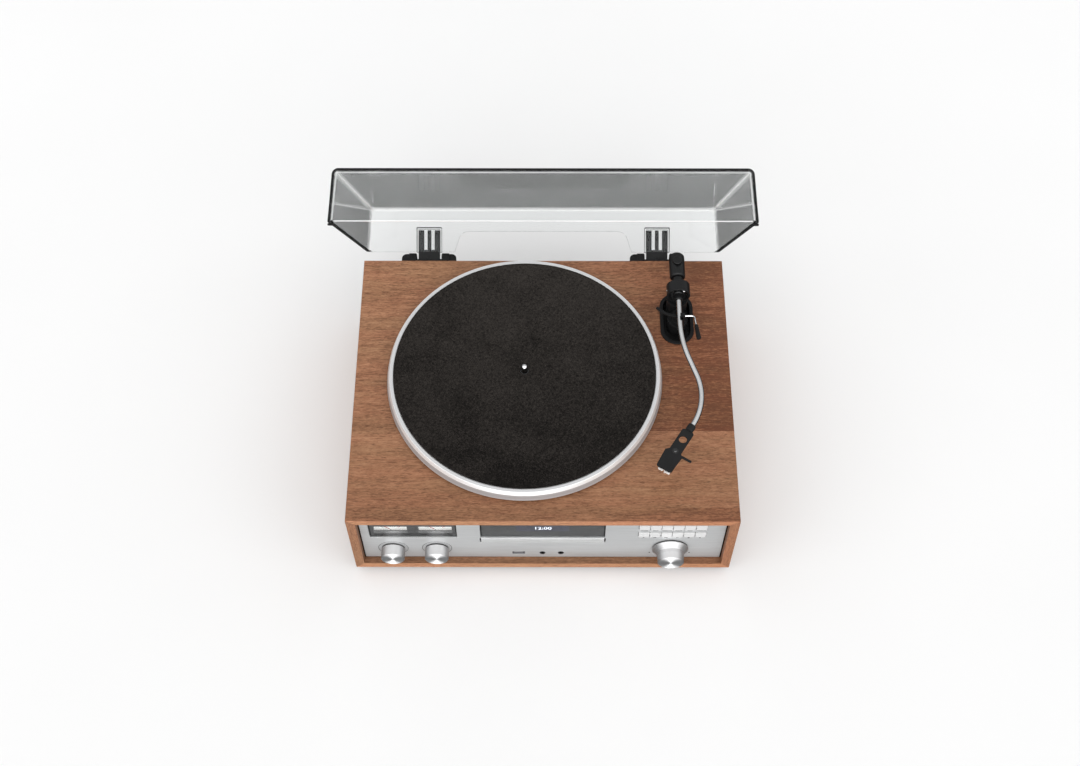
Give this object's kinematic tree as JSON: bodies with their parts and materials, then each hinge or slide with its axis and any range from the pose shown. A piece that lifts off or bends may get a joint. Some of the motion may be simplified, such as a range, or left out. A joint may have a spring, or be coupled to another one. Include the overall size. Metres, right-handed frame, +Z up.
{
  "type": "record player",
  "caption": "Belt-drive record player in a wooden cabinet with S-shaped tonearm, hinged clear dust cover, level meters, disc tray, knobs and push buttons.",
  "frame": {"origin": "under the middle of the cabinet, on the surface that the feet stand on", "axes": "+X to the right seen from the front, +Y to the back, +Z up along the spindle"},
  "size_m": [0.42, 0.3994, 0.4376],
  "materials": {
    "walnut": "walnut veneer, satin",
    "panel_black": "fine texture",
    "foot_rubber": "matte",
    "screw_steel": "bright zinc",
    "fascia_silver": "brushed along its length",
    "window_dark": "smoked, polished",
    "meter_white": "printed dial in a moulded case",
    "needle_black": "painted",
    "display_dark": "display glass",
    "socket_black": "moulded",
    "board_green": "solder mask",
    "core_steel": "varnished laminations",
    "terminal_brass": "plated",
    "drive_grey": "moulded",
    "motor_steel": "plated can",
    "belt_rubber": "ground flat",
    "bearing_brass": "turned",
    "platter_silver": "turned and satin polished",
    "felt": "pressed felt, dark brown",
    "chrome": "polished",
    "arm_black": "satin black",
    "base_black": "moulded satin black",
    "shell_black": "moulded",
    "cartridge_black": "moulded",
    "stylus_white": "moulded",
    "cover_clear": "clear, slightly grey",
    "bumper_rubber": "translucent",
    "hinge_black": "moulded",
    "button_silver": "silver paint",
    "knob_silver": "turned, spun faces"
  },
  "bodies": {
    "cabinet": {"top_board": "walnut", "base_board": "walnut", "side_boards": "walnut", "rear_panel": "panel_black", "rubber_feet": "foot_rubber", "case_screws": "screw_steel", "fascia": "fascia_silver", "meter_window": "window_dark", "meter_bodies": "meter_white", "display_window": "window_dark", "display_module": "display_dark", "front_sockets": "socket_black", "circuit_boards": "board_green", "power_transformer": "core_steel", "mains_inlet": "socket_black", "rear_terminals": "terminal_brass", "cd_drive": "drive_grey", "platter_motor": "motor_steel", "drive_belt": "belt_rubber", "bearing_housing": "bearing_brass", "arm_base": "base_black", "arm_pillar": "base_black", "arm_rest": "base_black", "hinge_brackets": "hinge_black"},
    "cover": {"dust_cover": "cover_clear", "cover_bumpers": "bumper_rubber", "hinge_tongues": "hinge_black"},
    "turntable": {"platter": "platter_silver", "felt_mat": "felt", "spindle": "chrome", "sub_platter": "drive_grey"},
    "pulley": {"motor_pulley": "bearing_brass"},
    "gimbal": {"gimbal_ring": "arm_black"},
    "arm": {"arm_block": "arm_black", "arm_tube": "chrome", "headshell": "shell_black", "cartridge": "cartridge_black", "stylus": "stylus_white"},
    "weight": {"counterweight": "arm_black"},
    "lever": {"cue_lever": "chrome", "lever_grip": "foot_rubber"},
    "lift": {"lift_bar": "base_black"},
    "tray": {"cd_tray": "button_silver"},
    "meter_needle_left": {"needle_left": "needle_black"},
    "meter_needle_right": {"needle_right": "needle_black"},
    "knob_tone_left": {"tone_knob_left": "knob_silver"},
    "knob_tone_right": {"tone_knob_right": "knob_silver"},
    "knob_volume": {"volume_knob": "knob_silver"},
    "key_upper_1": {"button_upper_1": "button_silver"},
    "key_upper_2": {"button_upper_2": "button_silver"},
    "key_upper_3": {"button_upper_3": "button_silver"},
    "key_upper_4": {"button_upper_4": "button_silver"},
    "key_upper_5": {"button_upper_5": "button_silver"},
    "key_upper_6": {"button_upper_6": "button_silver"},
    "key_lower_1": {"button_lower_1": "button_silver"},
    "key_lower_2": {"button_lower_2": "button_silver"},
    "key_lower_3": {"button_lower_3": "button_silver"},
    "key_lower_4": {"button_lower_4": "button_silver"},
    "key_lower_5": {"button_lower_5": "button_silver"},
    "key_lower_6": {"button_lower_6": "button_silver"}
  },
  "joints": [
    {"name": "cover_hinge", "type": "hinge", "parent": "cabinet", "child": "cover", "pos_m": [0, 0.1727, 0.1191], "axis": [-1, 0, 0], "range_deg": [-59.4, 0]},
    {"name": "platter_spin", "type": "hinge", "parent": "cabinet", "child": "turntable", "pos_m": [-0.0204, 0.0075, 0.128], "axis": [0, 0, 1], "continuous": true},
    {"name": "motor_spin", "type": "hinge", "parent": "cabinet", "child": "pulley", "pos_m": [-0.08545, 0.07255, 0.128], "axis": [0, 0, 1], "continuous": true},
    {"name": "arm_swing", "type": "hinge", "parent": "cabinet", "child": "gimbal", "pos_m": [0.153, 0.1025, 0.163], "axis": [0, 0, -1], "range_deg": [0, 42]},
    {"name": "arm_lift", "type": "hinge", "parent": "gimbal", "child": "arm", "pos_m": [0.153, 0.1025, 0.163], "axis": [-1, 0, 0], "range_deg": [0, 2.5]},
    {"name": "weight_slide", "type": "slide", "parent": "arm", "child": "weight", "axis": [0, 1, 0], "range_m": [0, 0.005]},
    {"name": "cue_lever", "type": "hinge", "parent": "cabinet", "child": "lever", "pos_m": [0.153, 0.0811, 0.144], "axis": [-1, 0, 0], "range_deg": [0, 45]},
    {"name": "cue_lift", "type": "slide", "parent": "cabinet", "child": "lift", "axis": [0, 0, 1], "range_m": [0, 0.0014]},
    {"name": "tray_slide", "type": "slide", "parent": "cabinet", "child": "tray", "axis": [0, -1, 0], "range_m": [0, 0.13]},
    {"name": "meter_left", "type": "hinge", "parent": "cabinet", "child": "meter_needle_left", "pos_m": [-0.166, -0.1524, 0.0781], "axis": [0, 1, 0], "range_deg": [0, 84], "stiffness_Nm_per_rad": 0.0002},
    {"name": "meter_right", "type": "hinge", "parent": "cabinet", "child": "meter_needle_right", "pos_m": [-0.1172, -0.1524, 0.0781], "axis": [0, 1, 0], "range_deg": [0, 84], "stiffness_Nm_per_rad": 0.0002},
    {"name": "tone_left_turn", "type": "hinge", "parent": "cabinet", "child": "knob_tone_left", "pos_m": [-0.166, -0.1602, 0.0415], "axis": [0, -1, 0], "range_deg": [-150, 150]},
    {"name": "tone_right_turn", "type": "hinge", "parent": "cabinet", "child": "knob_tone_right", "pos_m": [-0.1174, -0.1602, 0.0415], "axis": [0, -1, 0], "range_deg": [-150, 150]},
    {"name": "volume_turn", "type": "hinge", "parent": "cabinet", "child": "knob_volume", "pos_m": [0.1414, -0.1602, 0.044], "axis": [0, -1, 0], "range_deg": [-150, 150]},
    {"name": "button_upper_1", "type": "slide", "parent": "cabinet", "child": "key_upper_1", "axis": [0, 1, 0], "range_m": [0, 0.001], "stiffness_N_per_m": 300},
    {"name": "button_upper_2", "type": "slide", "parent": "cabinet", "child": "key_upper_2", "axis": [0, 1, 0], "range_m": [0, 0.001], "stiffness_N_per_m": 300},
    {"name": "button_upper_3", "type": "slide", "parent": "cabinet", "child": "key_upper_3", "axis": [0, 1, 0], "range_m": [0, 0.001], "stiffness_N_per_m": 300},
    {"name": "button_upper_4", "type": "slide", "parent": "cabinet", "child": "key_upper_4", "axis": [0, 1, 0], "range_m": [0, 0.001], "stiffness_N_per_m": 300},
    {"name": "button_upper_5", "type": "slide", "parent": "cabinet", "child": "key_upper_5", "axis": [0, 1, 0], "range_m": [0, 0.001], "stiffness_N_per_m": 300},
    {"name": "button_upper_6", "type": "slide", "parent": "cabinet", "child": "key_upper_6", "axis": [0, 1, 0], "range_m": [0, 0.001], "stiffness_N_per_m": 300},
    {"name": "button_lower_1", "type": "slide", "parent": "cabinet", "child": "key_lower_1", "axis": [0, 1, 0], "range_m": [0, 0.001], "stiffness_N_per_m": 300},
    {"name": "button_lower_2", "type": "slide", "parent": "cabinet", "child": "key_lower_2", "axis": [0, 1, 0], "range_m": [0, 0.001], "stiffness_N_per_m": 300},
    {"name": "button_lower_3", "type": "slide", "parent": "cabinet", "child": "key_lower_3", "axis": [0, 1, 0], "range_m": [0, 0.001], "stiffness_N_per_m": 300},
    {"name": "button_lower_4", "type": "slide", "parent": "cabinet", "child": "key_lower_4", "axis": [0, 1, 0], "range_m": [0, 0.001], "stiffness_N_per_m": 300},
    {"name": "button_lower_5", "type": "slide", "parent": "cabinet", "child": "key_lower_5", "axis": [0, 1, 0], "range_m": [0, 0.001], "stiffness_N_per_m": 300},
    {"name": "button_lower_6", "type": "slide", "parent": "cabinet", "child": "key_lower_6", "axis": [0, 1, 0], "range_m": [0, 0.001], "stiffness_N_per_m": 300}
  ],
  "couplings": [
    {"joint": "motor_spin", "follows": "platter_spin", "ratio": 8.8571},
    {"joint": "cue_lever", "follows": "arm_lift", "ratio": 18},
    {"joint": "cue_lift", "follows": "arm_lift", "m_per_rad": 0.0313}
  ]
}
